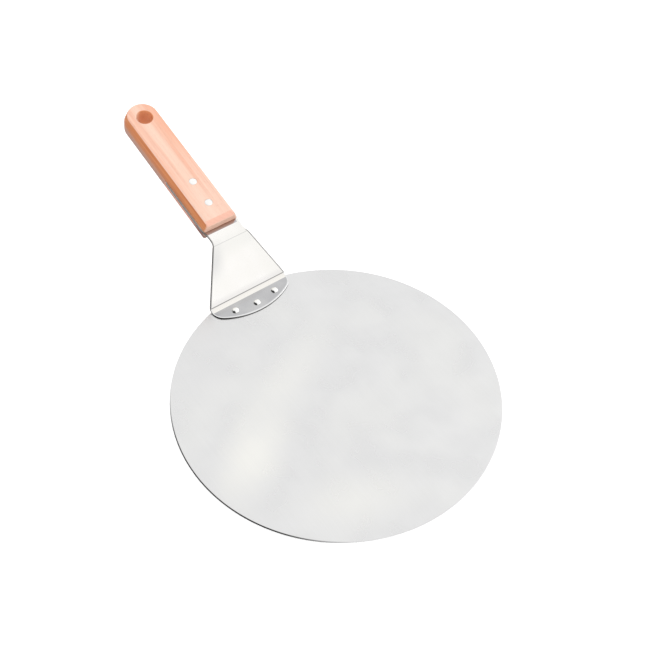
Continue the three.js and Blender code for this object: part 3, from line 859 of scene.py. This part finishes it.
def foot_rivet_profile(low, high):
    """A tail cone, a shank, and a head that is a sphere's cap on a low upright rim with a soft edge."""
    seat = FOOT_TOP + SEAT_GAP
    rim = seat + 0.35
    rise = high - rim
    ball = (FOOT_RIVET_HEAD ** 2 + rise ** 2) / (2 * rise)
    start = math.degrees(math.acos(FOOT_RIVET_HEAD / ball))
    cap = arc(0, high - ball, ball, start, 90, 16)
    edge = softened([[FOOT_RIVET_HEAD - 0.3, seat], [FOOT_RIVET_HEAD, seat], cap[0], cap[2]], 0.2, 4)
    shank = [[0, low], [FOOT_RIVET_TAIL - HOLE_CLEARANCE, low], [FOOT_RIVET_SHANK, COUNTERSINK_DEPTH],
             [FOOT_RIVET_SHANK, seat]]
    return np.vstack([shank, edge, cap[3:]])


def head_profile():
    """A flush head from its seat to its slightly domed middle, its edge rounded."""
    rim = HEAD_THICKNESS
    crown = [[GRIP_RIVET_HEAD * share, rim + HEAD_DOME * (1 - share ** 2)]
             for share in np.linspace(0.9, 0.0, 10)]
    return np.vstack([softened([[GRIP_RIVET_HEAD, 0.0], [GRIP_RIVET_HEAD, rim - 0.08], crown[0]], 0.2),
                      crown[1:]])


def make_rivets():
    """Three domed rivets through the foot, and two two-piece rivets through the grip."""
    polished = rivet_material("foot_rivet_polished_steel", 0.03, 0.06)
    satin = rivet_material("grip_rivet_satin_steel", 0.42, 0.50)
    for node, x, y in foot_rivet_places():
        low, high = box_mm(node)
        profile = foot_rivet_profile(low[2], high[2])
        turned_piece(node + "_dome", node, profile, polished, Matrix.Translation((x, y, 0)))
    pin_seat = GRIP_ABOVE - HEAD_THICKNESS
    sleeve_seat = GRIP_BOTTOM + HEAD_THICKNESS
    head = head_profile()
    pin = np.vstack([[[0, sleeve_seat + SEAT_GAP], [GRIP_RIVET_PIN, sleeve_seat + SEAT_GAP],
                      [GRIP_RIVET_PIN, pin_seat]], head + (0, pin_seat)])
    top = pin_seat - SLEEVE_TOP_GAP
    bore = GRIP_RIVET_PIN + HOLE_CLEARANCE
    sleeve = np.vstack([(head * (1, -1) + (0, sleeve_seat))[::-1],
                        [[GRIP_RIVET_SLEEVE, sleeve_seat], [GRIP_RIVET_SLEEVE, top], [bore, top],
                         [bore, sleeve_seat], [0, sleeve_seat]]])
    for where, at in GRIP_RIVETS_AT.items():
        place = tang_place() @ Matrix.Translation((0, at, 0))
        for part, profile in (("pin", pin), ("sleeve", sleeve)):
            node = f"grip_rivet_{part}_{where}"
            turned_piece(node + "_turned", node, profile, satin, place)


# ---- Studio

FLOOR_REACH = 4.0
FLOOR_DROP = 0.0004  # below the blade's underside, so that the two don't share a plane
FLAG_TOWARD = (-0.90, -0.22, 0.25)
KEY_LAMP_AT = (1.5, -0.35, 0.95)
KEY_LAMP_SIZE = 1.3
KEY_LAMP_POWER = 4.0


def make_floor():
    """A wide pale floor that keeps the object's shadow. For the camera and in reflections it is lifted to
    the background's white."""
    mesh = bpy.data.meshes.new("studio_floor")
    corners = [(-1, -1, 0), (1, -1, 0), (1, 1, 0), (-1, 1, 0)]
    mesh.from_pydata(corners, [], [(0, 1, 2, 3)])
    mesh.transform(Matrix.Translation((0, 0, -FLOOR_DROP)) @ Matrix.Scale(FLOOR_REACH, 4))
    material, tree, shader, _ = new_material("floor_paper")
    ray = put(tree, "ShaderNodeLightPath").outputs
    seen = maths(tree, "ADD", ray["Is Camera Ray"], ray["Is Glossy Ray"], clamp=True)
    wire(tree, shader, Base_Color=(0.86, 0.86, 0.86, 1.0), Roughness=0.9,
         Emission_Color=(1.0, 1.0, 1.0, 1.0), Emission_Strength=maths(tree, "MULTIPLY", seen, 0.45))
    mesh.materials.append(material)
    floor = bpy.data.objects.new("studio_floor", mesh)
    bpy.context.scene.collection.objects.link(floor)


def make_world():
    """White all round, with one dark soft-edged flag low on the left, which only mirroring metal shows."""
    world = bpy.data.worlds.new("studio")
    bpy.context.scene.world = world
    world.use_nodes = True
    tree = world.node_tree
    direction = put(tree, "ShaderNodeTexCoord").outputs["Generated"]
    flag = Vector(FLAG_TOWARD).normalized()
    toward = put(tree, "ShaderNodeVectorMath", {0: direction, 1: flag},
                 operation="DOT_PRODUCT").outputs["Value"]
    dark = ranged(tree, toward, 0.50, 0.80)
    mirrored = put(tree, "ShaderNodeLightPath").outputs["Is Glossy Ray"]
    dark = maths(tree, "MULTIPLY", dark, mirrored)
    colour = blended(tree, dark, (1.0, 1.0, 1.0, 1.0), (0.03, 0.03, 0.03, 1.0))
    background = tree.nodes["Background"]
    tree.links.new(colour, background.inputs["Color"])
    background.inputs["Strength"].default_value = 1.0


def make_lamp(name, position, size, power):
    """A square soft lamp that faces the blade."""
    lamp = bpy.data.lights.new(name, "AREA")
    lamp.size = size
    lamp.energy = power
    made = bpy.data.objects.new(name, lamp)
    made.location = position
    made.rotation_mode = "QUATERNION"
    made.rotation_quaternion = (-Vector(position)).to_track_quat("-Z", "Y")
    bpy.context.scene.collection.objects.link(made)


def make_camera():
    """A camera that looks at a point on the blade's plane from an azimuth and elevation, rolled a little."""
    azimuth = math.radians(CAMERA_AZIMUTH)
    elevation = math.radians(CAMERA_ELEVATION)
    back = Vector((math.sin(azimuth) * math.cos(elevation), -math.cos(azimuth) * math.cos(elevation),
                   math.sin(elevation)))
    right = (-back).cross(Vector((0, 0, 1))).normalized()
    up = right.cross(-back)
    turn = Matrix((right, up, back)).transposed() @ Matrix.Rotation(math.radians(CAMERA_ROLL), 3, "Z")
    data = bpy.data.cameras.new("camera")
    data.sensor_width = 36.0
    data.lens = CAMERA_LENS
    data.clip_start = 0.01
    camera = bpy.data.objects.new("camera", data)
    position = (Vector(CAMERA_TARGET) + back * CAMERA_DISTANCE) * MM
    camera.matrix_world = Matrix.Translation(position) @ turn.to_4x4()
    bpy.context.scene.collection.objects.link(camera)
    bpy.context.scene.camera = camera


make_blade()
make_bracket()
make_grip()
make_rivets()
make_floor()
make_world()
make_lamp("key_lamp", KEY_LAMP_AT, KEY_LAMP_SIZE, KEY_LAMP_POWER)
make_camera()
bpy.context.scene.view_settings.view_transform = "Standard"
